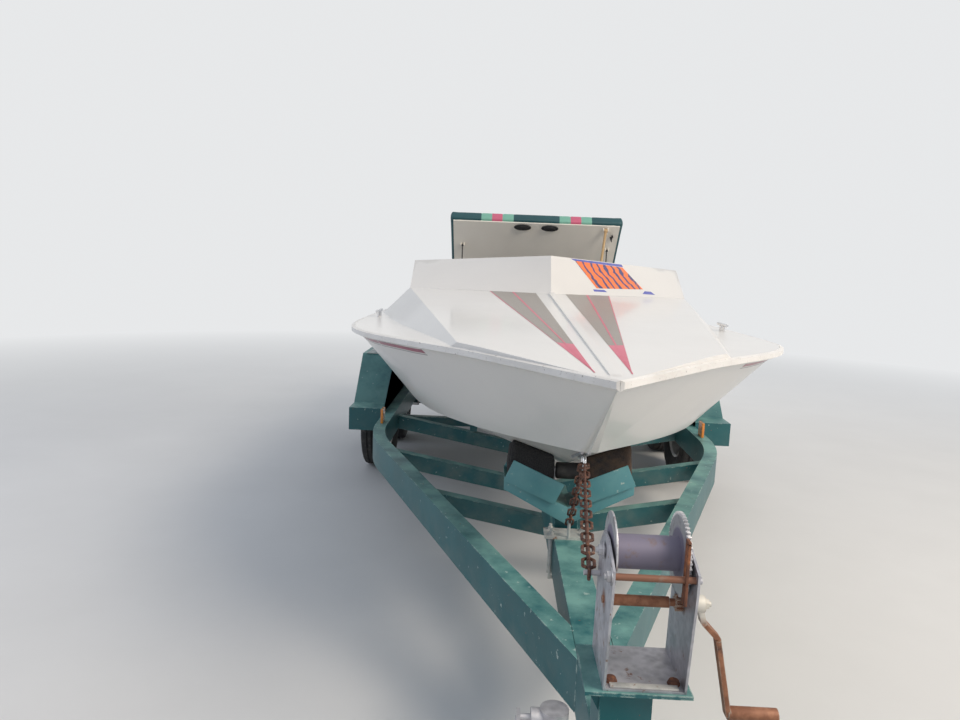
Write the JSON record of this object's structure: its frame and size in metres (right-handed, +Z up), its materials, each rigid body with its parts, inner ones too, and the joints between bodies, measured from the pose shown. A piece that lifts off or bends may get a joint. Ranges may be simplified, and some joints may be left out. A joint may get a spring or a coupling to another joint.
{
  "type": "speedboat",
  "caption": "V-hull jet speedboat with a wedge cowl, open cockpit and raised engine hatch, held on its boat trailer with a hand winch, chain and jack.",
  "frame": {"origin": "on the ground, under the middle of the overall length, on the centre plane", "axes": "+Y aft along the length, -Y towards the bow and coupler, +X to port, +Z up"},
  "size_m": [2.5, 6.885, 1.9501],
  "materials": {
    "gelcoat": "glossy",
    "rail_rubber": "satin",
    "teal_paint": "satin",
    "zinc": "satin",
    "rusty_steel": "matte",
    "chrome": "polished",
    "tyre": "matte",
    "rim_paint": "satin",
    "black_plastic": "matte",
    "carpet": "matte",
    "vinyl": "satin",
    "engine_paint": "satin",
    "aluminium": "satin",
    "pine": "matte",
    "lens": "glossy"
  },
  "bodies": {
    "boat_on_trailer": {"axles": "teal_paint", "bolster": "teal_paint", "bolster_clamp": "zinc", "bolster_pads": "carpet", "bunks": "carpet", "chain": "rusty_steel", "cockpit_floor": "carpet", "cockpit_liner": "vinyl", "coupler": "zinc", "cowl": "gelcoat", "crossmembers": "teal_paint", "dash": "black_plastic", "deck": "gelcoat", "deck_fittings": "chrome", "engine_beds": "gelcoat", "engine_block": "engine_paint", "engine_pulleys": "zinc", "exhausts": "rusty_steel", "fender_port": "teal_paint", "fender_starboard": "teal_paint", "hatch_hardware": "zinc", "hull": "gelcoat", "intake_and_arrestor": "aluminium", "jack_tube": "zinc", "jet_pump": "aluminium", "rail_port": "teal_paint", "rail_starboard": "teal_paint", "rear_bench": "vinyl", "rub_rail": "rail_rubber", "seat_port": "vinyl", "seat_starboard": "vinyl", "tongue_beam": "teal_paint", "trailer_lamps": "lens", "valve_covers": "chrome", "winch_frame": "zinc", "winch_post": "teal_paint"},
    "wheel_front_port": {"tyre_front_port": "tyre", "rim_front_port": "rim_paint"},
    "wheel_front_starboard": {"tyre_front_starboard": "tyre", "rim_front_starboard": "rim_paint"},
    "wheel_rear_port": {"tyre_rear_port": "tyre", "rim_rear_port": "rim_paint"},
    "wheel_rear_starboard": {"tyre_rear_starboard": "tyre", "rim_rear_starboard": "rim_paint"},
    "hatch": {"hatch_panel": "gelcoat", "hatch_cushion": "vinyl"},
    "hatch_stay_port_body": {"hatch_stay_port": "black_plastic"},
    "hatch_stay_starboard_body": {"hatch_stay_starboard": "black_plastic"},
    "prop_body": {"prop_stick": "pine"},
    "drum": {"winch_drum": "zinc"},
    "crank": {"winch_crank": "rusty_steel"},
    "jack_leg_body": {"jack_leg": "zinc"},
    "jack_crank_body": {"jack_crank": "zinc"},
    "steering": {"steering_wheel": "black_plastic"},
    "nozzle": {"steering_nozzle": "aluminium"},
    "bucket": {"reverse_bucket": "aluminium"}
  },
  "joints": [
    {"name": "wheel_front_port_spin", "type": "hinge", "parent": "boat_on_trailer", "child": "wheel_front_port", "pos_m": [1.135, 1.2105, 0.34], "axis": [1, 0, 0], "continuous": true},
    {"name": "wheel_front_starboard_spin", "type": "hinge", "parent": "boat_on_trailer", "child": "wheel_front_starboard", "pos_m": [-1.135, 1.2105, 0.34], "axis": [1, 0, 0], "continuous": true},
    {"name": "wheel_rear_port_spin", "type": "hinge", "parent": "boat_on_trailer", "child": "wheel_rear_port", "pos_m": [1.135, 2.0005, 0.34], "axis": [1, 0, 0], "continuous": true},
    {"name": "wheel_rear_starboard_spin", "type": "hinge", "parent": "boat_on_trailer", "child": "wheel_rear_starboard", "pos_m": [-1.135, 2.0005, 0.34], "axis": [1, 0, 0], "continuous": true},
    {"name": "hatch_fold", "type": "hinge", "parent": "boat_on_trailer", "child": "hatch", "pos_m": [0, 2.7805, 1.226], "axis": [1, 0, 0], "range_deg": [0, 47]},
    {"name": "hatch_stay_port_swing", "type": "hinge", "parent": "hatch", "child": "hatch_stay_port_body", "pos_m": [0.63, 2.33163, 1.66337], "axis": [1, 0, 0], "range_deg": [-8, 30]},
    {"name": "hatch_stay_starboard_swing", "type": "hinge", "parent": "hatch", "child": "hatch_stay_starboard_body", "pos_m": [-0.63, 2.33163, 1.66337], "axis": [1, 0, 0], "range_deg": [-8, 30]},
    {"name": "prop_swing", "type": "hinge", "parent": "hatch", "child": "prop_body", "pos_m": [0.59, 2.17886, 1.82719], "axis": [1, 0, 0], "range_deg": [-3, 25]},
    {"name": "drum_spin", "type": "hinge", "parent": "boat_on_trailer", "child": "drum", "pos_m": [0.03, -2.6125, 0.955], "axis": [1, 0, 0], "continuous": true},
    {"name": "crank_spin", "type": "hinge", "parent": "boat_on_trailer", "child": "crank", "pos_m": [0.115, -2.6364, 0.858], "axis": [1, 0, 0], "continuous": true},
    {"name": "jack_slide", "type": "slide", "parent": "boat_on_trailer", "child": "jack_leg_body", "axis": [0, 0, 1], "range_m": [-0.1, 0.17]},
    {"name": "jack_crank_spin", "type": "hinge", "parent": "boat_on_trailer", "child": "jack_crank_body", "pos_m": [-0.198, -2.6895, 0.618], "axis": [1, 0, 0], "continuous": true},
    {"name": "steering_turn", "type": "hinge", "parent": "boat_on_trailer", "child": "steering", "pos_m": [-0.4, 0.5575, 1.255], "axis": [0, 0.9397, 0.342], "range_deg": [-450, 450]},
    {"name": "nozzle_turn", "type": "hinge", "parent": "boat_on_trailer", "child": "nozzle", "pos_m": [0, 3.3155, 0.69], "axis": [0, 0, 1], "range_deg": [-25, 25]},
    {"name": "bucket_fold", "type": "hinge", "parent": "boat_on_trailer", "child": "bucket", "pos_m": [0, 3.2005, 0.768], "axis": [1, 0, 0], "range_deg": [-50, 0]}
  ],
  "couplings": [
    {"joint": "crank_spin", "follows": "drum_spin", "ratio": -5.6667},
    {"joint": "nozzle_turn", "follows": "steering_turn", "ratio": 0.055556}
  ]
}
